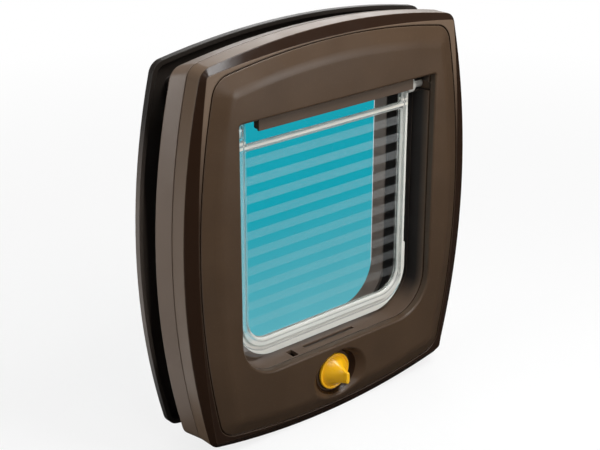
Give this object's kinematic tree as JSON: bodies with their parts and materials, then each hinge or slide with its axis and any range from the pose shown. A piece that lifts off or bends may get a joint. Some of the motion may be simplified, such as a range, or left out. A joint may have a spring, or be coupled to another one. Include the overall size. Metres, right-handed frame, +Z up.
{
  "type": "cat flap",
  "caption": "Door-mounted cat flap: barrel-outlined front unit and rear frame clamp a door, with a clear swinging flap and a turn-knob lock below it.",
  "frame": {"origin": "middle of the front unit's back face, which lies on the door's room side", "axes": "+X to the right seen from the room, +Y through the door to the outdoors, +Z up"},
  "size_m": [0.235, 0.0565, 0.252],
  "materials": {
    "cover_plastic": "glossy moulded",
    "base_plastic": "glossy moulded",
    "clear_plastic": "clear with frosted stripes",
    "knob_plastic": "glossy moulded",
    "lock_plastic": "moulded",
    "screw_steel": "zinc plated",
    "rear_plastic": "glossy moulded"
  },
  "bodies": {
    "frame": {"front_cover": "cover_plastic", "base_frame": "base_plastic", "slider_guides": "lock_plastic", "guide_screws": "screw_steel", "rear_frame": "rear_plastic", "clamp_screws": "screw_steel"},
    "flap": {"flap": "clear_plastic"},
    "knob": {"lock_knob": "knob_plastic", "lock_cam": "lock_plastic", "cam_screw": "screw_steel"},
    "slider": {"lock_slider": "lock_plastic"}
  },
  "joints": [
    {"name": "flap_swing", "type": "hinge", "parent": "frame", "child": "flap", "pos_m": [0, -0.011, 0.074], "axis": [1, 0, 0], "range_deg": [-75, 75]},
    {"name": "knob_turn", "type": "hinge", "parent": "frame", "child": "knob", "pos_m": [0, -0.02, -0.0978], "axis": [0, 1, 0], "range_deg": [0, 90]},
    {"name": "slider_lift", "type": "slide", "parent": "frame", "child": "slider", "axis": [0, 0, 1], "range_m": [0, 0.006]}
  ],
  "couplings": [
    {"joint": "slider_lift", "follows": "knob_turn", "m_per_rad": 0.0038197}
  ]
}
